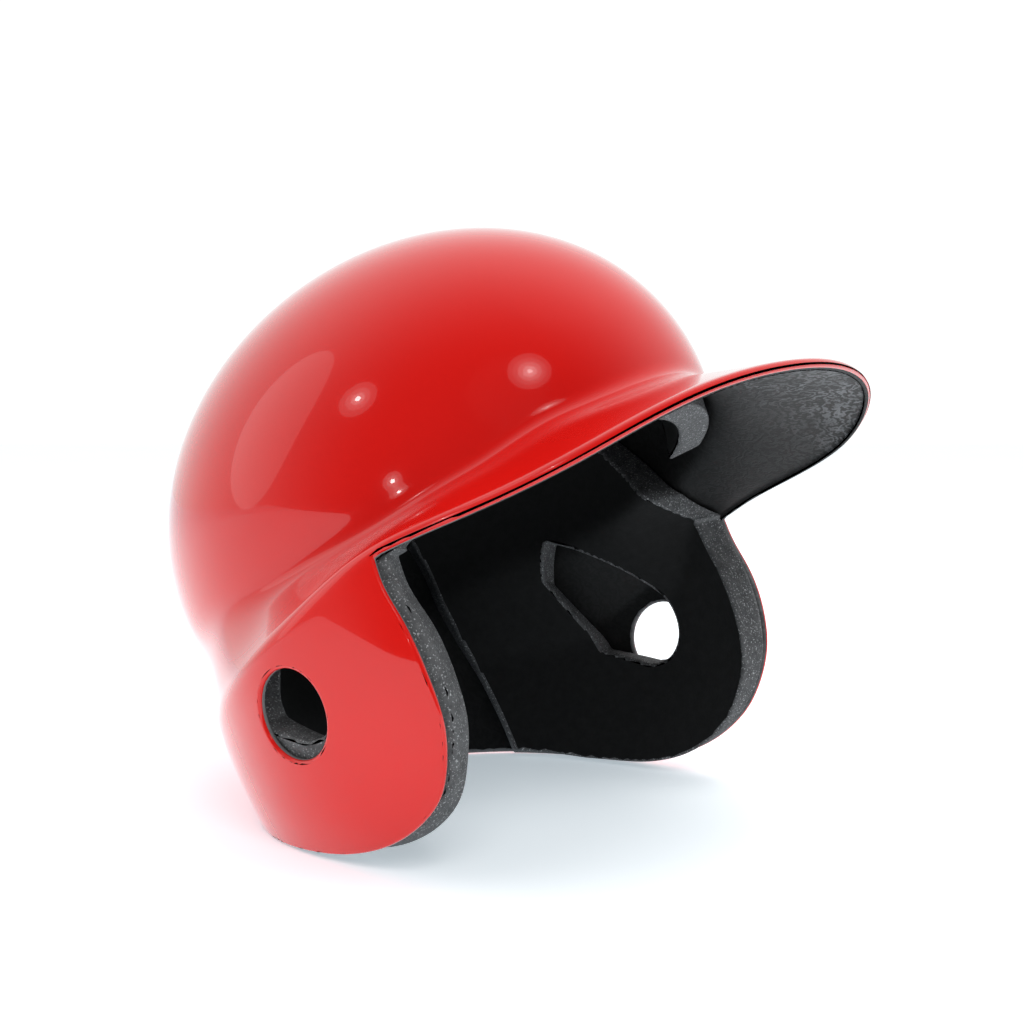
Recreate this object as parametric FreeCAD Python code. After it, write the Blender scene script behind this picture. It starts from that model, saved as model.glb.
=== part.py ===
"""Baseball batting helmet with two ear flaps, standing at rest on its rim.

One moulded shell (dome, brim and flaps) lined with five pads of foam.  Everything is drawn
in the wearing frame, with its origin midway between the ear holes, +X forward, +Y to the
wearer's left and +Z up, and then leaned back onto the ground plane.  Millimetres.
"""
import FreeCAD, Part
import math
import os

V = FreeCAD.Vector

# ---------------------------------------------------------------- driving dimensions
WALL = 3.0                    # moulded shell thickness
PAD = 12.5                    # foam thickness
SEAT = 0.6                    # glue tape between a pad and the shell

DOME_LENGTH = 250.0
DOME_WIDTH = 194.0
DOME_RISE = 99.5              # widest level up to the crown
DOME_LEVEL = 76.0             # widest level above the ear holes
DOME_FORWARD = 1.5            # dome centre ahead of the ear holes

# Crest: the brim's upper outer edge, running on into the outermost line of each flap and
# round the nape.  Left half, front to back, (x, y, z).
CREST = [(178, 0, 35.5), (173.5, 32, 35), (164, 55.5, 33.5), (150, 73.5, 31), (132, 86, 29),
         (112, 92, 29.5), (92, 96, 31.5), (73, 102.5, 33.5), (56, 110.5, 34), (34, 114.5, 31),
         (8, 116.5, 26), (-20, 113, 22), (-47, 102, 20), (-72, 84, 20), (-93, 56, 20),
         (-105, 20, 20), (-106.5, 0, 20)]
# Height of the line where the dome turns out into the brim and over the ears, by azimuth.
ROOT_HEIGHTS = [(0, 59), (25, 54), (45, 49), (65, 46), (90, 48), (120, 56), (180, 60)]
BRIM_TURNS = (45.0, 80.0)     # from soft flap to crisp brim edge between these x
PAD_TURNS = (58.0, 96.0)      # the pads leave the flaps and close in to the dome between these
PAD_RAMP = 12.0               # the pads slope straight from the dome to the flap at this level
FLAP_LEVEL = 10.0             # the flaps are widest here ...
FLAP_TUCK = 0.147             # ... and this fraction narrower at FLAP_DROP below it
NAPE_TUCK = 0.06              # the same at the nape
FLAP_DROP = 60.0
SKIRT_END = -70.0             # the full skirt is trimmed from here up

# Rim seen from the side, (x, z): front of the flap, round its foot and up to the nape.
NOTCH = (56.5, 31.5)
FLAP_RIM = [(55.8, 22), (57.2, 8), (57.2, -4), (55.6, -15), (51.6, -27.5), (45.0, -37.0), (34.5, -46.0),
            (23.5, -50.3), (10.5, -52.2), (0.0, -51.8), (-9.0, -50.2), (-20.4, -46.8),
            (-33.0, -41.4), (-47.0, -34.5)]
NAPE = (-104.0, -2.0)

EAR_HOLE_RADIUS = 16.0
EAR_HOLE_REACH = 115.0        # from the plane of symmetry to the hole
EAR_TOE = 7.0                 # the flaps face this many degrees to the rear

# Pads, seen from the side (x, z) or from the front (y, z).
PAD_MARGIN = (-1.5, 1.0)      # side pads stop this far inside the flap rim, in x and in z
SIDE_PAD = [(-70, -90), (-80, 90), (32, 90), (41, 75), (51, 58.5), (59.5, 43), (60, 32), (64, 20),
            (64, -90)]
EAR_CUTOUT = [(-16, 57), (-3, 47.5), (8, 35), (17, 20), (20.5, 6), (18, -4), (8, -10.5), (-3, -9)]
EAR_CUTOUT_HEEL = [(-24, 6), (-28, 42)]
FOREHEAD_PAD = (62.0, 51.0, 108.0)    # half width, bottom, top
REAR_PAD = (48.0, 3.0, 84.0)
CROWN_PAD = (112.0, 78.0)     # length and width
CROWN_PAD_X = -6.0

REST_LEAN = 30.0              # tipped back to stand on the rim


# ---------------------------------------------------------------- surfaces
def ease(low, high, x):
    """0 below low, 1 above high, eased between."""
    t = min(1.0, max(0.0, (x - low) / (high - low)))
    return t * t * (3 - 2 * t)


def root_height(azimuth):
    rows = ROOT_HEIGHTS
    for (x0, v0), (x1, v1) in zip(rows, rows[1:]):
        if azimuth <= x1:
            return v0 + (v1 - v0) * ease(x0, x1, azimuth)


def crest_points(count):
    """The closed crest sampled evenly in length, symmetric about the XZ plane."""
    left = [V(*p) for p in CREST]
    curve = Part.BSplineCurve()
    curve.interpolate(Points=left + [V(p.x, -p.y, p.z) for p in left[-2:0:-1]], PeriodicFlag=True)
    half = curve.discretize(Number=count + 1)[:count // 2 + 1]
    return half + [V(p.x, -p.y, p.z) for p in half[-2:0:-1]]


def meridian(crest, depth=0.0, brim=True):
    """Control points from the crown down one side of the skirt.

    With brim=False they are those of the foam: the wall drops straight down at the front
    and slopes out to the flaps at the sides, and depth moves it inward.
    """
    ahead = V(crest.x - DOME_FORWARD, crest.y, 0)
    azimuth = abs(math.degrees(math.atan2(ahead.y, ahead.x)))
    out = ahead / ahead.Length
    reach = 1 / math.hypot(out.x / (DOME_LENGTH / 2 - depth), out.y / (DOME_WIDTH / 2 - depth))
    rise = DOME_RISE - depth
    centre = V(DOME_FORWARD, 0, DOME_LEVEL)

    def wall(height):
        return centre + out * reach * math.sqrt(1 - ((height - DOME_LEVEL) / rise) ** 2) \
            + V(0, 0, height - DOME_LEVEL)

    points = [centre + V(0, 0, rise)]
    for lean in (9, 20, 32, 44, 56, 68, 80):
        a = math.radians(lean)
        points.append(centre + out * reach * math.sin(a) + V(0, 0, rise * math.cos(a)))
    points[1].z = points[0].z

    root = root_height(azimuth)
    foot = wall(root)
    crisp = ease(*(BRIM_TURNS if brim else PAD_TURNS), crest.x)
    edge = crest - out * depth
    if not brim:
        edge = edge + (foot - edge) * crisp
        even = ease(-70, -30, crest.x) * (1 - ease(25, 55, crest.x))
        edge.z = crest.z + (PAD_RAMP - crest.z) * even
    lip = (edge - foot) * min(0.15, (4.0 if crisp else 1e3) / max(1.0, (edge - foot).Length))
    points += [wall(root + 0.55 * (93 - root)), wall(root + 9), foot]
    points += [foot + (edge - foot) * 0.33, foot + (edge - foot) * 0.66, edge - lip, edge]

    start = edge.z - (8 - 4 * crisp)
    tuck = NAPE_TUCK + (FLAP_TUCK - NAPE_TUCK) * ease(-95, -15, crest.x)
    for step in range(7):
        height = start + (SKIRT_END - start) * step / 6
        scale = 1 - tuck * (max(0.0, FLAP_LEVEL - height) / FLAP_DROP) ** 2
        points.append(V(edge.x * scale, edge.y * scale, height))
    return points


def inset(net, depth):
    """The closed net moved inward by depth, each control point along its own normal."""
    last = len(net[0]) - 1
    moved = []
    for i, column in enumerate(net):
        before, after = net[i - 1], net[(i + 1) % len(net)]
        points = [column[0] - V(0, 0, depth)]
        for j in range(1, last + 1):
            inward = (after[j] - before[j]).cross(column[min(j + 1, last)] - column[j - 1])
            inward.normalize()
            points.append(column[j] + inward * depth)
        points[1].z = points[0].z
        points[last].z = column[last].z
        moved.append(points)
    return moved


def closed_body(net):
    """Solid under the B-spline surface of the net, closed by a flat underside."""
    columns, rows = len(net), len(net[0])
    surface = Part.BSplineSurface()
    surface.buildFromPolesMultsKnots(
        net, [1] * (columns + 1), [4] + [1] * (rows - 4) + [4],
        list(range(columns + 1)), list(range(rows - 2)), True, False, 3, 3)
    skin = surface.toShape()
    foot = min(skin.Edges, key=lambda edge: edge.BoundBox.ZMax)
    shell = Part.Shell([skin, Part.Face(Part.Wire([foot]))])
    shell.sewShape()
    return Part.Solid(shell)


# ---------------------------------------------------------------- outlines
def curve(points):
    spline = Part.BSplineCurve()
    spline.interpolate(points)
    return spline.toShape()


def side(points):
    """(x, z) pairs as points in the XZ plane."""
    return [V(x, 0, z) for x, z in points]


def lines(points):
    return [Part.makeLine(a, b) for a, b in zip(points, points[1:])]


def prism(edges, start, travel):
    """Solid swept from a closed outline moved by start, along travel."""
    face = Part.Face(Part.Wire(edges))
    face.translate(start)
    return face.extrude(travel)


def trimmed(margin_x=0.0, margin_z=0.0):
    """Everything across the helmet above the rim, less a margin around the flaps."""
    brim = [V(x, 0, z - WALL) for x, _, z in CREST if x > NOTCH[0] + 10]
    tip = V(200, 0, brim[0].z)
    rim = side([NOTCH] + FLAP_RIM)
    hub = V(-8, 0, 8)
    for i, p in enumerate(rim):
        away = (p - hub) / (p - hub).Length
        rim[i] = p - V(away.x * margin_x, 0, away.z * margin_z)
    nape = V(NAPE[0], 0, NAPE[1] + margin_z)
    back = lines([rim[-1], nape, V(-200, 0, nape.z + 55), V(-200, 0, 260), V(200, 0, 260), tip])
    edges = [curve([tip] + brim + [rim[0]]), curve(rim)] + back
    return prism(edges, V(0, -200, 0), V(0, 400, 0))


def ear_cutout(hand):
    """Teardrop opening of a side pad, tapering up and back from the ear hole."""
    drop = side(EAR_CUTOUT)
    heel = side(EAR_CUTOUT_HEEL)
    edges = [curve(drop)] + lines([drop[-1]] + heel + [drop[0]])
    return prism(edges, V(0, 0, 0), V(0, 200 * hand, 0))


# ---------------------------------------------------------------- pieces
def make_shell(outer, inner):
    shell = outer.cut(inner).common(trimmed())
    toe = math.radians(EAR_TOE)
    for hand in (1, -1):
        axis = V(-math.sin(toe), hand * math.cos(toe), 0)
        start = V(0, hand * EAR_HOLE_REACH, 0) - axis * 30
        shell = shell.cut(Part.makeCylinder(EAR_HOLE_RADIUS, 60, start, axis))
    return largest(shell)


def side_pad(lining, hand):
    outline = side(SIDE_PAD + SIDE_PAD[:1])
    zone = prism(lines(outline), V(0, 0, 0), V(0, 200 * hand, 0))
    return largest(lining.common(trimmed(*PAD_MARGIN)).common(zone).cut(ear_cutout(hand)))


def end_pad(lining, pad, direction):
    """Pad across the forehead or the nape: half width, bottom and top."""
    half_width, bottom, top = pad
    box = Part.makeBox(200, 2 * half_width, top - bottom, V(0, -half_width, bottom))
    if direction < 0:
        box.rotate(V(), V(0, 0, 1), 180)
    return largest(lining.common(box))


def crown_pad(lining):
    length, width = CROWN_PAD
    oval = Part.Ellipse(V(CROWN_PAD_X, 0, 100), length / 2, width / 2).toShape()
    return largest(lining.common(prism([oval], V(), V(0, 0, 100))))


def largest(shape):
    return max(shape.Solids, key=lambda solid: solid.Volume)


if __name__ == "__main__":
    crest = crest_points(56)
    net = [meridian(p) for p in crest]
    back = closed_body(inset([meridian(p, brim=False) for p in crest], WALL + SEAT))
    face = closed_body([meridian(p, WALL + SEAT + PAD, brim=False) for p in crest])
    lining = back.cut(face)

    pieces = {
        "shell": make_shell(closed_body(net), closed_body(inset(net, WALL))),
        "forehead_pad": end_pad(lining, FOREHEAD_PAD, 1),
        "left_side_pad": side_pad(lining, 1),
        "right_side_pad": side_pad(lining, -1),
        "rear_pad": end_pad(lining, REAR_PAD, -1),
        "crown_pad": crown_pad(lining),
    }
    for piece in pieces.values():
        piece.rotate(V(), V(0, 1, 0), -REST_LEAN)
    extent = pieces["shell"].optimalBoundingBox()
    footing = V(-(extent.XMin + extent.XMax) / 2, 0, -extent.ZMin)
    os.makedirs("parts", exist_ok=True)
    for name, piece in pieces.items():
        piece.translate(footing)
        piece.exportStep("parts/" + name + ".step")
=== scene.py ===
"""Looks of the batting helmet: lacquered shell, cut foam pads, pale floor, soft light."""
import math

import bpy
import numpy as np
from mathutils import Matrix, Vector


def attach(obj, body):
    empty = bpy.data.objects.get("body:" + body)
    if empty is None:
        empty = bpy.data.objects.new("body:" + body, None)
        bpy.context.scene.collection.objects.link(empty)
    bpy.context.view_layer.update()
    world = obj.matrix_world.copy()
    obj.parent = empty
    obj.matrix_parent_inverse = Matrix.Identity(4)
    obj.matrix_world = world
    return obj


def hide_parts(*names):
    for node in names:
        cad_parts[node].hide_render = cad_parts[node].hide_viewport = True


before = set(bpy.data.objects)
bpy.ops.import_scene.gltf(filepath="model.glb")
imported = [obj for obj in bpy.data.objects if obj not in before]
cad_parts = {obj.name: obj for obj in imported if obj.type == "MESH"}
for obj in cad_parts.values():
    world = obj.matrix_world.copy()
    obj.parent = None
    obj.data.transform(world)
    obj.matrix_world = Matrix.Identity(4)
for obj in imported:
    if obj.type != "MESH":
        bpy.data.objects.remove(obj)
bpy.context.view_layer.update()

MM = 0.001
COLUMNS, ROWS = 336, 190           # grid of each surface, around the helmet and down it
SHELL_BEND, FOAM_BEND = 1.2, 1.6   # radius of the rounded edges
SNAP, HALVINGS = 0.36, 18          # a grid point within this share of its edge moves onto the cut
NEAR_GROUND, FAR_GROUND, SIDE_GROUND = 0.62, 6.0, 4.0    # reach of the floor, metres

# Wearing frame, millimetres: origin midway between the ear holes, +X forward, +Z up.
WALL, PAD, SEAT = 3.0, 12.5, 0.6
DOME_LENGTH, DOME_WIDTH, DOME_RISE = 250.0, 194.0, 99.5
DOME_LEVEL, DOME_FORWARD = 76.0, 1.5
CREST = [(178, 0, 35.5), (173.5, 32, 35), (164, 55.5, 33.5), (150, 73.5, 31), (132, 86, 29),
         (112, 92, 29.5), (92, 96, 31.5), (73, 102.5, 33.5), (56, 110.5, 34), (34, 114.5, 31),
         (8, 116.5, 26), (-20, 113, 22), (-47, 102, 20), (-72, 84, 20), (-93, 56, 20),
         (-105, 20, 20), (-106.5, 0, 20)]
ROOT_HEIGHTS = [(0, 59), (25, 54), (45, 49), (65, 46), (90, 48), (120, 56), (180, 60)]
BRIM_TURNS, PAD_TURNS, PAD_RAMP = (45.0, 80.0), (58.0, 96.0), 12.0
FLAP_LEVEL, FLAP_TUCK, NAPE_TUCK, FLAP_DROP = 10.0, 0.147, 0.06, 60.0
SKIRT_END = -70.0
NOTCH, NAPE = (56.5, 31.5), (-104.0, -2.0)
FLAP_RIM = [(55.8, 22), (57.2, 8), (57.2, -4), (55.6, -15), (51.6, -27.5), (45.0, -37.0), (34.5, -46.0),
            (23.5, -50.3), (10.5, -52.2), (0.0, -51.8), (-9.0, -50.2), (-20.4, -46.8),
            (-33.0, -41.4), (-47.0, -34.5)]
EAR_HOLE_RADIUS, EAR_HOLE_REACH, EAR_TOE = 16.0, 115.0, math.radians(7)
PAD_MARGIN = (-1.5, 1.0)
SIDE_PAD = [(-70, -90), (-80, 90), (32, 90), (41, 75), (51, 58.5), (59.5, 43), (60, 32), (64, 20),
            (64, -90)]
EAR_CUTOUT = [(-16, 57), (-3, 47.5), (8, 35), (17, 20), (20.5, 6), (18, -4), (8, -10.5), (-3, -9)]
EAR_CUTOUT_HEEL = [(-24, 6), (-28, 42)]
FOREHEAD_PAD, REAR_PAD = (62.0, 51.0, 108.0), (48.0, 3.0, 84.0)
CROWN_PAD, CROWN_PAD_X = (112.0, 78.0), -6.0
REST_LEAN = math.radians(30)


# ---------------------------------------------------------------- curves in the plane
def spline(points, closed=False, per_span=12):
    """Cubic spline through points, chord-length spaced, sampled evenly within each span."""
    p = np.array(points, float)
    if closed:
        p = np.vstack([p, p[:1]])
    t = np.r_[0, np.cumsum(np.linalg.norm(np.diff(p, axis=0), axis=1))]
    h, n = np.diff(t), len(p)
    a, rhs = np.zeros((n, n)), np.zeros(p.shape)
    slope = np.diff(p, axis=0) / h[:, None]
    for i in range(1, n - 1):
        a[i, i - 1:i + 2] = h[i - 1], 2 * (h[i - 1] + h[i]), h[i]
        rhs[i] = 6 * (slope[i] - slope[i - 1])
    if closed:
        a[0, 0], a[0, -1] = 1, -1
        a[-1, :2] = 2 * h[0], h[0]
        a[-1, -2:] += h[-1], 2 * h[-1]
        rhs[-1] = 6 * (slope[0] - slope[-1])
    else:
        a[0, 0] = a[-1, -1] = 1
    m = np.linalg.solve(a, rhs)
    out = []
    for i in range(n - 1):
        s = np.arange(per_span)[:, None] * h[i] / per_span
        out.append(p[i] + s * (slope[i] - h[i] * (2 * m[i] + m[i + 1]) / 6)
                   + s ** 2 * m[i] / 2 + s ** 3 * (m[i + 1] - m[i]) / (6 * h[i]))
    return np.vstack(out + [p[-1:]])


def evenly(points, count):
    """count + 1 points evenly spaced in length along a polyline."""
    t = np.r_[0, np.cumsum(np.linalg.norm(np.diff(points, axis=0), axis=1))]
    s = np.linspace(0, t[-1], count + 1)
    return np.stack([np.interp(s, t, points[:, k]) for k in range(points.shape[1])], -1)


def depth_in(outline, q):
    """Distance of plane points q inside a closed polygon, negative outside."""
    a, b = outline, np.roll(outline, -1, axis=0)
    ab, best, inside = b - a, np.full(len(q), 1e9), np.zeros(len(q), bool)
    for i in range(len(a)):
        aq = q - a[i]
        t = np.clip(aq @ ab[i] / max(ab[i] @ ab[i], 1e-12), 0, 1)
        best = np.minimum(best, np.linalg.norm(aq - t[:, None] * ab[i], axis=1))
        crosses = (a[i, 1] > q[:, 1]) != (b[i, 1] > q[:, 1])
        if crosses.any():
            x = a[i, 0] + (q[:, 1] - a[i, 1]) * ab[i, 0] / (ab[i, 1] if ab[i, 1] else 1e-12)
            inside ^= crosses & (q[:, 0] < x)
    return np.where(inside, best, -best)


# ---------------------------------------------------------------- the shell's surfaces
def ease(low, high, x):
    """Smooth step from 0 at low to 1 at high."""
    t = min(1.0, max(0.0, (x - low) / (high - low)))
    return t * t * (3 - 2 * t)


def root_height(azimuth):
    """Height of the line where the dome turns out into the brim, at an azimuth in degrees."""
    for (x0, v0), (x1, v1) in zip(ROOT_HEIGHTS, ROOT_HEIGHTS[1:]):
        if azimuth <= x1:
            return v0 + (v1 - v0) * ease(x0, x1, azimuth)


def crest_points(count=56):
    """Points evenly spaced along the widest line of brim and flaps, mirrored left to right."""
    left = [np.array(p, float) for p in CREST]
    flip = np.array([1, -1, 1])
    loop = spline(left + [p * flip for p in left[-2:0:-1]], closed=True)
    half = evenly(loop, count)[:count // 2 + 1]
    return np.vstack([half, half[-2:0:-1] * flip])


def meridian(crest, depth=0.0, brim=True):
    """Control points from the crown to the end of the skirt, through one point of the crest.

    depth moves them inward; brim=False leaves the brim out, for the pads.
    """
    ahead = np.array([crest[0] - DOME_FORWARD, crest[1], 0])
    azimuth = abs(math.degrees(math.atan2(ahead[1], ahead[0])))
    out = ahead / np.linalg.norm(ahead)
    reach = 1 / math.hypot(out[0] / (DOME_LENGTH / 2 - depth), out[1] / (DOME_WIDTH / 2 - depth))
    rise = DOME_RISE - depth
    centre, up = np.array([DOME_FORWARD, 0, DOME_LEVEL]), np.array([0, 0, 1.0])

    def wall(height):
        level = height - DOME_LEVEL
        return centre + out * reach * math.sqrt(1 - (level / rise) ** 2) + up * level

    points = [centre + up * rise]
    for lean in (9, 20, 32, 44, 56, 68, 80):
        a = math.radians(lean)
        points.append(centre + out * reach * math.sin(a) + up * rise * math.cos(a))
    points[1][2] = points[0][2]

    root = root_height(azimuth)
    foot = wall(root)
    crisp = ease(*(BRIM_TURNS if brim else PAD_TURNS), crest[0])
    edge = crest - out * depth
    if not brim:
        edge = edge + (foot - edge) * crisp
        even = ease(-70, -30, crest[0]) * (1 - ease(25, 55, crest[0]))
        edge[2] = crest[2] + (PAD_RAMP - crest[2]) * even
    length = max(1.0, np.linalg.norm(edge - foot))
    lip = (edge - foot) * min(0.15, (4.0 if crisp else 1e3) / length)
    points += [wall(root + 0.55 * (93 - root)), wall(root + 9), foot]
    points += [foot + (edge - foot) * 0.33, foot + (edge - foot) * 0.66, edge - lip, edge]

    start = edge[2] - (8 - 4 * crisp)
    tuck = NAPE_TUCK + (FLAP_TUCK - NAPE_TUCK) * ease(-95, -15, crest[0])
    for step in range(7):
        height = start + (SKIRT_END - start) * step / 6
        scale = 1 - tuck * (max(0.0, FLAP_LEVEL - height) / FLAP_DROP) ** 2
        points.append(np.array([edge[0] * scale, edge[1] * scale, height]))
    return points


def inset(net, depth):
    """The net moved inward by depth, each control point along its own normal."""
    along = np.concatenate([net[:, 1:], net[:, -1:]], 1) - np.concatenate([net[:, :1], net[:, :-1]], 1)
    across = np.roll(net, -1, 0) - np.roll(net, 1, 0)
    inward = np.cross(across, along)
    inward /= np.linalg.norm(inward, axis=2)[..., None] + 1e-12
    moved = net + inward * depth
    moved[:, 0] = net[:, 0] - [0, 0, depth]
    moved[:, 1, 2] = moved[:, 0, 2]
    moved[:, -1, 2] = net[:, -1, 2]
    return moved


def cubic_around(u, n):
    """Weights of n control points of a closed uniform cubic spline at u, 0 to n."""
    k, f = np.floor(u).astype(int), u - np.floor(u)
    w = np.zeros((len(u), n))
    rows = np.arange(len(u))
    for j, value in enumerate(((1 - f) ** 3, 3 * f ** 3 - 6 * f ** 2 + 4,
                               -3 * f ** 3 + 3 * f ** 2 + 3 * f + 1, f ** 3)):
        w[rows, (k + j) % n] += value / 6
    return w


def cubic_along(v, n):
    """Weights of n control points of a clamped cubic spline at v, 0 to n - 3."""
    knots = np.r_[0, 0, 0, np.arange(n - 2), [n - 3] * 3].astype(float)
    v = np.clip(v, 0, n - 3 - 1e-9)
    w = ((v[:, None] >= knots[:-1]) & (v[:, None] < knots[1:])).astype(float)
    for p in (1, 2, 3):
        rise = knots[p:-1] - knots[:-p - 1]
        fall = knots[p + 1:] - knots[1:-p]
        left = np.where(rise > 0, (v[:, None] - knots[:-p - 1]) / np.where(rise > 0, rise, 1), 0)
        right = np.where(fall > 0, (knots[p + 1:] - v[:, None]) / np.where(fall > 0, fall, 1), 0)
        w = left * w[:, :-1] + right * w[:, 1:]
    return w


class Surface:
    """Cubic surface over a control net, closed around the helmet, clamped at crown and skirt."""

    def __init__(self, net):
        self.net = net

    def at(self, uv):
        n, m = self.net.shape[:2]
        columns = cubic_around(uv[:, 0] % n, n) @ self.net.reshape(n, m * 3)
        weights = cubic_along(uv[:, 1], m)[:, :, None]
        return (weights * columns.reshape(-1, m, 3)).sum(1)

    def normals(self, uv):
        """Unit normals pointing out of the helmet."""
        e = 1e-3
        top = self.net.shape[1] - 3
        v0, v1 = np.clip(uv[:, 1] - e, 2e-3, top), np.clip(uv[:, 1] + e, 4e-3, top)
        du = self.at(uv + [e, 0]) - self.at(uv - [e, 0])
        flat = uv[:, 1] < 4e-3
        du[flat] = (self.at(np.c_[uv[:, 0] + e, v1]) - self.at(np.c_[uv[:, 0] - e, v1]))[flat]
        dv = self.at(np.c_[uv[:, 0], v1]) - self.at(np.c_[uv[:, 0], v0])
        n = np.cross(dv, du)
        return n / (np.linalg.norm(n, axis=1)[:, None] + 1e-15)


# ---------------------------------------------------------------- trimmed sheets
def trim(surface, inside, columns=COLUMNS, rows=ROWS):
    """Grid of the surface cut along inside() == 0: (uv, faces, edge pairs on the cut)."""
    n, m = surface.net.shape[:2]
    us = np.arange(columns) * n / columns
    vs = np.linspace(0, m - 3, rows)
    uv = np.stack(np.meshgrid(us, vs, indexing="ij"), -1).reshape(-1, 2)
    f = inside(surface.at(uv))

    def near(a, b):
        """b as seen from a across the seam."""
        b = b.copy()
        b[..., 0] += n * np.round((a[..., 0] - b[..., 0]) / n)
        return b

    def root(a, b):
        """The point of the cut between an inside point a and an outside point b."""
        a, b = a.copy(), near(a, b)
        for _ in range(HALVINGS):
            mid = (a + b) / 2
            keep = inside(surface.at(mid)) > 0
            a[keep], b[~keep] = mid[keep], mid[~keep]
        return (a + b) / 2

    index = np.arange(columns * rows).reshape(columns, rows)
    right = np.roll(index, -1, 0)
    edges = np.concatenate([np.stack([index, right], -1).reshape(-1, 2),
                            np.stack([index[:, :-1], index[:, 1:]], -1).reshape(-1, 2)])
    cut = (f[edges[:, 0]] > 0) != (f[edges[:, 1]] > 0)
    pairs = edges[cut]
    swap = f[pairs[:, 0]] <= 0
    pairs[swap] = pairs[swap][:, ::-1]
    where = root(uv[pairs[:, 0]], uv[pairs[:, 1]])
    far = near(uv[pairs[:, 0]], uv[pairs[:, 1]])
    span = np.linalg.norm(far - uv[pairs[:, 0]], axis=1)
    t = np.linalg.norm(where - uv[pairs[:, 0]], axis=1) / span

    state = np.where(f > 0, 1, -1)
    nearest = {}
    for k in range(len(pairs)):
        for vertex, share in ((pairs[k, 0], t[k]), (pairs[k, 1], 1 - t[k])):
            if share < SNAP and share < nearest.get(vertex, (1,))[0]:
                nearest[vertex] = (share, k)
    for vertex, (_, k) in nearest.items():
        uv[vertex] = where[k]
        state[vertex] = 0

    split = state[edges[:, 0]] * state[edges[:, 1]] < 0
    pairs = edges[split]
    swap = state[pairs[:, 0]] < 0
    pairs[swap] = pairs[swap][:, ::-1]
    extra = root(uv[pairs[:, 0]], uv[pairs[:, 1]])
    made = {(min(p), max(p)): len(uv) + k for k, p in enumerate(pairs.tolist())}

    faces = []
    for i in range(columns):
        j = (i + 1) % columns
        for k in range(rows - 1):
            quad = [i * rows + k, j * rows + k, j * rows + k + 1, i * rows + k + 1]
            if k == 0:
                quad = [0] + quad[2:]    # every column starts at the one point of the crown
            s = state[quad]
            if (s > 0).all():
                faces.append(quad)
            elif (s > 0).any() or (s == 0).sum() >= 3:
                ring = []
                for p, q in zip(quad, quad[1:] + quad[:1]):
                    if state[p] >= 0:
                        ring.append(p)
                    if state[p] * state[q] < 0:
                        ring.append(made[min(p, q), max(p, q)])
                if (s > 0).any():
                    faces.append(ring)
                elif inside(surface.at(near(uv[quad[0]], uv[ring]).mean(0)[None]))[0] > 0:
                    faces.append(ring)
    uv = np.vstack([uv, extra])
    count = {}
    for ring in faces:
        for p, q in zip(ring, ring[1:] + ring[:1]):
            count[(p, q)] = count.get((p, q), 0) + 1
    rim = [e for e in count if (e[1], e[0]) not in count]
    used = sorted({p for ring in faces for p in ring})
    new = {old: k for k, old in enumerate(used)}
    faces = [[new[p] for p in ring] for ring in faces]
    rim = [(new[p], new[q]) for p, q in rim]
    return uv[used], faces, rim


def slab(name, front, back, uv, faces, rim, radius, materials, steps=3):
    """Closed piece between two surfaces over one trimmed sheet, its rim rounded.

    front faces out of the helmet.  materials are those of the front, the rim and the back.
    """
    a = front.at(uv)
    b = back.at(uv)
    na = front.normals(uv)
    nb = -back.normals(uv)
    edge_points = sorted({p for e in rim for p in e})
    slot = {p: k for k, p in enumerate(edge_points)}
    out = np.zeros((len(edge_points), 3))
    for p, q in rim:
        side = np.cross(na[p] + na[q], a[q] - a[p])
        side /= np.linalg.norm(side) + 1e-12
        out[slot[p]] += side
        out[slot[q]] += side
    n_edge = na[edge_points]
    out -= (out * n_edge).sum(1)[:, None] * n_edge
    out /= np.linalg.norm(out, axis=1)[:, None] + 1e-12
    pa, pb = a[edge_points].copy(), b[edge_points].copy()
    through = pb - pa
    thick = np.linalg.norm(through, axis=1)[:, None]
    through /= thick
    bend = np.minimum(radius, 0.45 * thick)

    layers, normals = [], []
    for k in range(1, steps + 1):
        angle = math.pi / 2 * k / steps
        layers.append(pa - out * bend * (1 - math.sin(angle)) + through * bend * (1 - math.cos(angle)))
        normals.append(n_edge * math.cos(angle) + out * math.sin(angle))
    for k in range(steps):
        angle = math.pi / 2 * k / steps
        layers.append(pb - out * bend * (1 - math.cos(angle)) - through * bend * (1 - math.sin(angle)))
        normals.append(nb[edge_points] * math.sin(angle) + out * math.cos(angle))
    a[edge_points] = pa - out * bend
    b[edge_points] = pb - out * bend

    n, e = len(uv), len(edge_points)
    points = np.vstack([a, b] + layers)
    shading = np.vstack([na, nb] + normals)
    polygons = [ring[::-1] for ring in faces] + [[p + n for p in ring] for ring in faces]
    kind = [0] * len(faces) + [2] * len(faces)
    levels = [lambda p: p] + [lambda p, o=2 * n + i * e: slot[p] + o for i in range(len(layers))] \
        + [lambda p: p + n]
    for i, (upper, lower) in enumerate(zip(levels, levels[1:])):
        for p, q in rim:
            polygons.append([upper(p), upper(q), lower(q), lower(p)])
            kind.append(0 if i < steps else 1)
    return mesh_piece(name, points, polygons, kind, materials, shading)


def to_row(points):
    """Wearing frame in millimetres to the row frame in metres."""
    c, s = math.cos(REST_LEAN), math.sin(REST_LEAN)
    x = points[:, 0] * c - points[:, 2] * s
    z = points[:, 0] * s + points[:, 2] * c
    return (np.stack([x, points[:, 1], z], -1) + SHIFT) * MM


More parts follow.
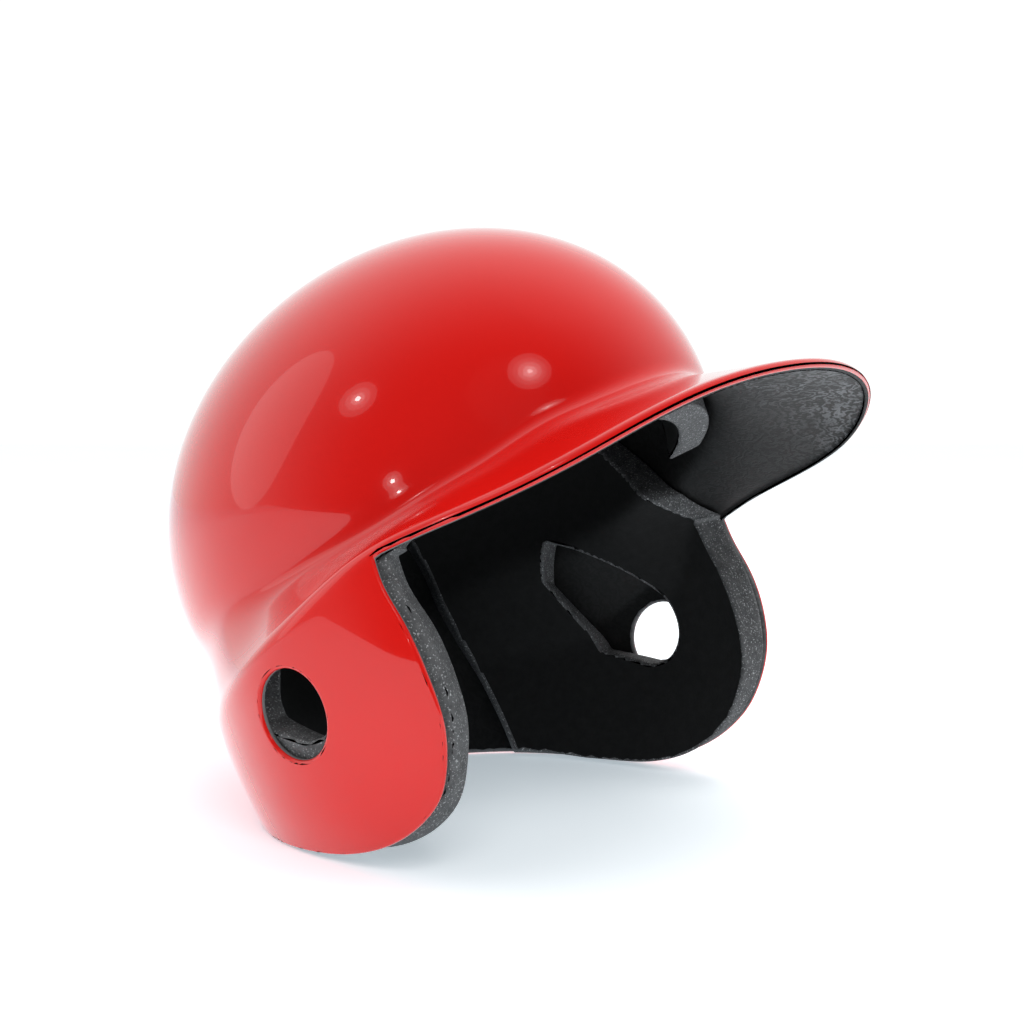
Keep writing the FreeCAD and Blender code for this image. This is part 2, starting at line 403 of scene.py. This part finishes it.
def mesh_piece(name, points, polygons, kind, materials, shading):
    """Object in the row frame; kind is the material of each polygon, shading its points' normals."""
    mesh = bpy.data.meshes.new(name)
    mesh.from_pydata(to_row(points).tolist(), [], polygons)
    for material in materials:
        mesh.materials.append(material)
    mesh.polygons.foreach_set("material_index", kind)
    mesh.polygons.foreach_set("use_smooth", [True] * len(mesh.polygons))
    c, s = math.cos(REST_LEAN), math.sin(REST_LEAN)
    turned = np.stack([shading[:, 0] * c - shading[:, 2] * s, shading[:, 1],
                       shading[:, 0] * s + shading[:, 2] * c], -1)
    turned /= np.linalg.norm(turned, axis=1)[:, None] + 1e-12
    mesh.normals_split_custom_set_from_vertices(turned.tolist())
    mesh.update()
    piece = bpy.data.objects.new(name, mesh)
    bpy.context.scene.collection.objects.link(piece)
    return piece


SHIFT = np.zeros(3)    # set once the shell is known


def settle(points):
    """Shift that centres the leaned-back helmet's box and puts its lowest point on the ground."""
    low, high = to_row(points).min(0) / MM, to_row(points).max(0) / MM
    return np.array([-(low[0] + high[0]) / 2, 0, -low[2]])


# ---------------------------------------------------------------- outlines
def rim_outline(margin=(0, 0)):
    """Closed (x, z) outline of everything above the rim, less a margin around the flaps."""
    brim = [(x, z - WALL) for x, _, z in CREST if x > NOTCH[0] + 10]
    tip = (200, brim[0][1])
    rim = np.array([NOTCH] + FLAP_RIM, float)
    away = rim - [-8, 8]
    rim -= away * margin / np.linalg.norm(away, axis=1)[:, None]
    nape = (NAPE[0], NAPE[1] + margin[1])
    return np.vstack([spline([tip] + brim + [tuple(rim[0])]), spline(rim)[1:], [nape],
                      [(-200, nape[1] + 55), (-200, 260), (200, 260)]])


def in_rim(p, outline):
    return depth_in(outline, p[:, [0, 2]])


def off_ear_hole(p):
    """Distance outside the round ear holes."""
    axis = np.array([-math.sin(EAR_TOE), math.cos(EAR_TOE), 0])
    q = p.copy()
    q[:, 1] = np.abs(q[:, 1]) - EAR_HOLE_REACH
    far = np.linalg.norm(q - (q @ axis)[:, None] * axis, axis=1) - EAR_HOLE_RADIUS
    return np.where(np.abs(q[:, 1]) < 35, far, 50)


RIM, PAD_RIM = rim_outline(), rim_outline(PAD_MARGIN)
CUTOUT = np.vstack([spline(EAR_CUTOUT), EAR_CUTOUT_HEEL])
SIDE_ZONE = np.array(SIDE_PAD, float)


def in_shell(p):
    return np.minimum(in_rim(p, RIM), off_ear_hole(p))


def in_side_pad(hand):
    def inside(p):
        q = p[:, [0, 2]]
        f = np.minimum(in_rim(p, PAD_RIM), depth_in(SIDE_ZONE, q))
        f = np.minimum(f, -depth_in(CUTOUT, q))
        return np.where(p[:, 1] * hand > 5, f, -50)
    return inside


def in_end_pad(pad, direction):
    half_width, bottom, top = pad

    def inside(p):
        f = np.minimum(half_width - np.abs(p[:, 1]), np.minimum(p[:, 2] - bottom, top - p[:, 2]))
        return np.minimum(f, p[:, 0] * direction)
    return inside


def in_crown_pad(p):
    length, width = CROWN_PAD
    r = np.hypot((p[:, 0] - CROWN_PAD_X) / (length / 2), p[:, 1] / (width / 2))
    return np.where(p[:, 2] > 100, (1 - r) * width / 2, -50)


# ---------------------------------------------------------------- materials
class Nodes:
    """A material's node tree, written as calls."""

    def __init__(self, name):
        self.material = bpy.data.materials.new(name)
        self.material.use_nodes = True
        self.tree = self.material.node_tree
        self.shader = self.tree.nodes["Principled BSDF"]
        self.place = self.add("ShaderNodeTexCoord").outputs["Object"]

    def add(self, kind, **settings):
        node = self.tree.nodes.new(kind)
        for key, value in settings.items():
            setattr(node, key, value)
        return node

    def link(self, source, target):
        self.tree.links.new(source, target)

    def set(self, **values):
        for key, value in values.items():
            self.shader.inputs[key.replace("_", " ")].default_value = value

    def noise(self, scale, detail=4.0, roughness=0.6, distortion=0.0):
        node = self.add("ShaderNodeTexNoise")
        node.inputs["Scale"].default_value = scale
        node.inputs["Detail"].default_value = detail
        node.inputs["Roughness"].default_value = roughness
        node.inputs["Distortion"].default_value = distortion
        self.link(self.place, node.inputs["Vector"])
        return node.outputs["Fac"]

    def ramp(self, source, stops):
        node = self.add("ShaderNodeValToRGB")
        while len(node.color_ramp.elements) < len(stops):
            node.color_ramp.elements.new(0.5)
        for element, (where, colour) in zip(node.color_ramp.elements, stops):
            element.position = where
            element.color = (*colour, 1)
        self.link(source, node.inputs["Fac"])
        return node.outputs["Color"]

    def math(self, operation, first, second):
        node = self.add("ShaderNodeMath", operation=operation)
        self.link(first, node.inputs[0])
        self.link(second, node.inputs[1])
        return node.outputs[0]

    def forward(self, low, high, interpolation="LINEAR"):
        """Goes between two values as the surface goes forward from 'low' to 'high'."""
        (x0, v0), (x1, v1) = low, high
        split = self.add("ShaderNodeSeparateXYZ")
        self.link(self.place, split.inputs["Vector"])
        node = self.add("ShaderNodeMapRange", interpolation_type=interpolation)
        for name, value in (("From Min", x0), ("From Max", x1), ("To Min", v0), ("To Max", v1)):
            node.inputs[name].default_value = value
        self.link(split.outputs["X"], node.inputs["Value"])
        return node.outputs["Result"]

    def bump(self, source, strength, distance):
        node = self.add("ShaderNodeBump")
        node.inputs["Strength"].default_value = strength
        node.inputs["Distance"].default_value = distance
        self.link(source, node.inputs["Height"])
        self.link(node.outputs["Normal"], self.shader.inputs["Normal"])


def grey(value, cool=1.0):
    """Grey with a slight blue cast, neutral at cool = 0."""
    return (value, value * (1 + 0.02 * cool), value * (1 + 0.05 * cool))


def lacquer():
    """Deep gloss red over a very faint orange peel."""
    m = Nodes("red_lacquer")
    m.link(m.ramp(m.noise(9, 2), [(0.3, (0.60, 0.006, 0.004)), (0.7, (0.66, 0.008, 0.005))]),
           m.shader.inputs["Base Color"])
    m.link(m.ramp(m.noise(60, 5), [(0.35, grey(0.10, 0)), (0.75, grey(0.16, 0))]),
           m.shader.inputs["Roughness"])
    m.set(Specular_IOR_Level=0.12, Coat_Weight=1.0, Coat_Roughness=0.02, Coat_IOR=1.4)
    m.bump(m.noise(420, 2), 0.03, 0.0003)
    return m.material


def composite():
    """Bare inside of the shell: black resin over swirled chopped strand; the strands stand out at the
    front, under the brim, and fade to near black further back.
    """
    m = Nodes("bare_composite")
    swirl = m.noise(38, 3, 0.6, 1.5)
    strands = m.add("ShaderNodeTexWave", wave_type="BANDS", bands_direction="DIAGONAL")
    strands.inputs["Scale"].default_value = 75
    strands.inputs["Distortion"].default_value = 22
    strands.inputs["Detail"].default_value = 4
    strands.inputs["Detail Scale"].default_value = 1.2
    strands.inputs["Detail Roughness"].default_value = 0.65
    m.link(m.place, strands.inputs["Vector"])
    weave = m.math("MULTIPLY", strands.outputs["Fac"], swirl)
    shown = m.math("MULTIPLY", weave, m.forward((0.070, 0.12), (0.135, 1.0), "SMOOTHSTEP"))
    m.link(m.ramp(shown, [(0.0, grey(0.006)), (0.2, grey(0.024)), (0.5, grey(0.13, 2))]),
           m.shader.inputs["Base Color"])
    m.set(Roughness=0.6, Specular_IOR_Level=0.35)
    m.bump(weave, 0.2, 0.0005)
    return m.material


def raw_edge():
    """Trimmed edge of the shell: lighter grey at the flaps, darker along the brim."""
    m = Nodes("raw_edge")
    tone = m.math("MULTIPLY", m.noise(500, 4), m.forward((0.045, 1.0), (0.075, 0.25)))
    m.link(m.ramp(tone, [(0.08, grey(0.012)), (0.45, grey(0.15))]), m.shader.inputs["Base Color"])
    m.set(Roughness=0.75, Specular_IOR_Level=0.3)
    m.bump(m.noise(1200, 3), 0.3, 0.0003)
    return m.material


def foam(name, dark, light, painted_glint_level, pores):
    """Closed-cell foam; the fourth argument is how bright its painted glints are, light specks of cut
    cells added to the base colour, and pores is the depth of the bump.
    """
    m = Nodes(name)
    cells = m.add("ShaderNodeTexVoronoi", feature="F1")
    cells.inputs["Scale"].default_value = 900
    m.link(m.place, cells.inputs["Vector"])
    tone = m.ramp(m.noise(240, 6, 0.7), [(0.32, grey(dark)), (0.68, grey(light))])
    # Painted glints: bright specks added to the base colour where cut cells would catch the light.
    painted_glint = m.ramp(m.noise(1500, 1, 0.5), [(0.60, (0, 0, 0)), (0.72, grey(painted_glint_level))])
    add = m.add("ShaderNodeMix", data_type="RGBA", blend_type="ADD")
    add.inputs["Factor"].default_value = 1.0
    m.link(tone, add.inputs["A"])
    m.link(painted_glint, add.inputs["B"])
    m.link(add.outputs["Result"], m.shader.inputs["Base Color"])
    m.set(Roughness=0.85, Specular_IOR_Level=0.3)
    m.bump(cells.outputs["Distance"], pores, 0.0006)
    return m.material


# ---------------------------------------------------------------- build
crest = crest_points()
outer_net = np.array([meridian(p) for p in crest])
outer = Surface(outer_net)
inner = Surface(inset(outer_net, WALL))
lining = Surface(inset(np.array([meridian(p, brim=False) for p in crest]), WALL + SEAT))
head = Surface(np.array([meridian(p, WALL + SEAT + PAD, brim=False) for p in crest]))

paint, bare = lacquer(), composite()
skin = foam("foam_skin", 0.007, 0.012, 0.0, 0.12)
# Cut faces of the foam, about ten times lighter than the skin: partly the grey of open cut cells, partly
# painted light.
cut = foam("foam_cut_partly_painted_light", 0.065, 0.12, 0.30, 0.5)
sheet = trim(outer, in_shell)
SHIFT = settle(outer.at(sheet[0]))
shell = slab("helmet_shell", outer, inner, *sheet, SHELL_BEND, [paint, raw_edge(), bare])
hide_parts("shell")
pads = {
    "forehead_pad": in_end_pad(FOREHEAD_PAD, 1),
    "left_side_pad": in_side_pad(1),
    "right_side_pad": in_side_pad(-1),
    "rear_pad": in_end_pad(REAR_PAD, -1),
    "crown_pad": in_crown_pad,
}
for node, inside in pads.items():
    sheet = trim(lining, inside)
    pad = slab(node + "_foam", lining, head, *sheet, FOAM_BEND, [cut, cut, skin])
    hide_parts(node)
    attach(pad, "root")
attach(shell, "root")


# ---------------------------------------------------------------- stage and camera
def direction(yaw, pitch):
    """Way the camera looks, turned left from +Y and tipped down."""
    return Vector((-math.sin(yaw) * math.cos(pitch), math.cos(yaw) * math.cos(pitch), -math.sin(pitch)))


def floor():
    """Pale table, wide and deep; its near edge lies under the camera, out of view."""
    near = Vector((math.sin(YAW), -math.cos(YAW), 0))
    across = Vector((math.cos(YAW), math.sin(YAW), 0))
    front, back, side = near * NEAR_GROUND, near * -FAR_GROUND, across * SIDE_GROUND
    corners = [front - side, front + side, back + side, back - side]
    mesh = bpy.data.meshes.new("floor")
    mesh.from_pydata(corners, [], [(0, 1, 2, 3)])
    plane = bpy.data.objects.new("floor", mesh)
    bpy.context.scene.collection.objects.link(plane)
    m = Nodes("pale_floor")
    m.link(m.ramp(m.noise(3, 2), [(0.3, (0.93, 0.94, 0.95)), (0.7, (0.95, 0.96, 0.97))]),
           m.shader.inputs["Base Color"])
    m.set(Roughness=0.9, Specular_IOR_Level=0.1, Emission_Color=(0.80, 0.92, 1, 1), Emission_Strength=0.45)
    mesh.materials.append(m.material)


def softbox(name, place, target, size, watts, mirrored=True):
    """Round or oval lamp aimed at a target; mirrored says whether it shows in the gloss."""
    lamp = bpy.data.objects.new(name, bpy.data.lights.new(name, "AREA"))
    lamp.data.shape = "ELLIPSE"
    lamp.data.size, lamp.data.size_y = size
    lamp.data.energy = watts
    lamp.location = place
    lamp.rotation_euler = (Vector(target) - Vector(place)).to_track_quat("-Z", "Y").to_euler()
    lamp.visible_glossy = mirrored
    bpy.context.scene.collection.objects.link(lamp)


YAW, PITCH = math.radians(38.65), math.radians(3.85)
EYE, LENS = (0.390, -0.473, 0.1569), 55.07
MIDDLE = (0, 0, 0.12)    # where most lamps aim, about half way up the helmet
SKY, SKY_BEHIND, SKY_SEEN = 1.0, 0.12, 1.1
view = direction(YAW, PITCH)
camera = bpy.data.objects.new("camera", bpy.data.cameras.new("camera"))
camera.data.lens = LENS
camera.rotation_euler = view.to_track_quat("-Z", "Y").to_euler()
camera.location = EYE
bpy.context.scene.collection.objects.link(camera)
bpy.context.scene.camera = camera
bpy.context.scene.view_settings.view_transform = "Standard"

floor()

# White surroundings, darker behind the camera so that the lacquer keeps its depth.  The camera
# itself sees them a little brighter still.
world = bpy.data.worlds.new("studio")
world.use_nodes = True
tree = world.node_tree
place = tree.nodes.new("ShaderNodeTexCoord").outputs["Generated"]
toward = tree.nodes.new("ShaderNodeVectorMath")
toward.operation = "DOT_PRODUCT"
toward.inputs[1].default_value = -view
tree.links.new(place, toward.inputs[0])
fade = tree.nodes.new("ShaderNodeMapRange")
fade.interpolation_type = "SMOOTHSTEP"
fade.inputs["From Min"].default_value = -0.3
fade.inputs["From Max"].default_value = 0.75
fade.inputs["To Min"].default_value = SKY
fade.inputs["To Max"].default_value = SKY_BEHIND
tree.links.new(toward.outputs["Value"], fade.inputs["Value"])
sky = tree.nodes["Background"]
sky.inputs["Color"].default_value = (1, 1, 1, 1)
tree.links.new(fade.outputs["Result"], sky.inputs["Strength"])
bright = tree.nodes.new("ShaderNodeBackground")
bright.inputs["Color"].default_value = (1, 1, 1, 1)
bright.inputs["Strength"].default_value = SKY_SEEN
seen = tree.nodes.new("ShaderNodeLightPath")
mix = tree.nodes.new("ShaderNodeMixShader")
tree.links.new(seen.outputs["Is Camera Ray"], mix.inputs["Fac"])
tree.links.new(sky.outputs["Background"], mix.inputs[1])
tree.links.new(bright.outputs["Background"], mix.inputs[2])
tree.links.new(mix.outputs["Shader"], tree.nodes["World Output"].inputs["Surface"])
bpy.context.scene.world = world

softbox("fill", (1.2, -1.25, 1.3), (0, 0, 0.1), (1.2, 1.2), 16, mirrored=False)
softbox("overhead", (0.25, 0.25, 1.3), MIDDLE, (0.9, 0.9), 7, mirrored=False)
# Each lamp is a small bright core within wider, dimmer discs, so that its glint fades outward.
lamps = {
    "front_lamp": ((0.96, -0.68, 1.19),
                   ((0.06, 0.10), (0.16, 0.30), (0.27, 0.45), (0.38, 0.45), (0.50, 0.45))),
    "left_lamp": ((-0.45, -1.30, 0.91), ((0.05, 0.15), (0.12, 0.12), (0.22, 0.18), (0.34, 0.22))),
    "table_lamp": ((0.09, -1.58, 0.16), ((0.04, 0.12), (0.10, 0.06), (0.18, 0.10))),
}
for name, (lamp_place, discs) in lamps.items():
    for k, (size, watts) in enumerate(discs):
        softbox(f"{name}_{k}", lamp_place, MIDDLE, (size, size), watts)
# A tall panel to the left of the camera, mirrored in the side of the dome.
softbox("panel", (-1.35, -1.1, 0.75), MIDDLE, (0.9, 1.5), 2.2)
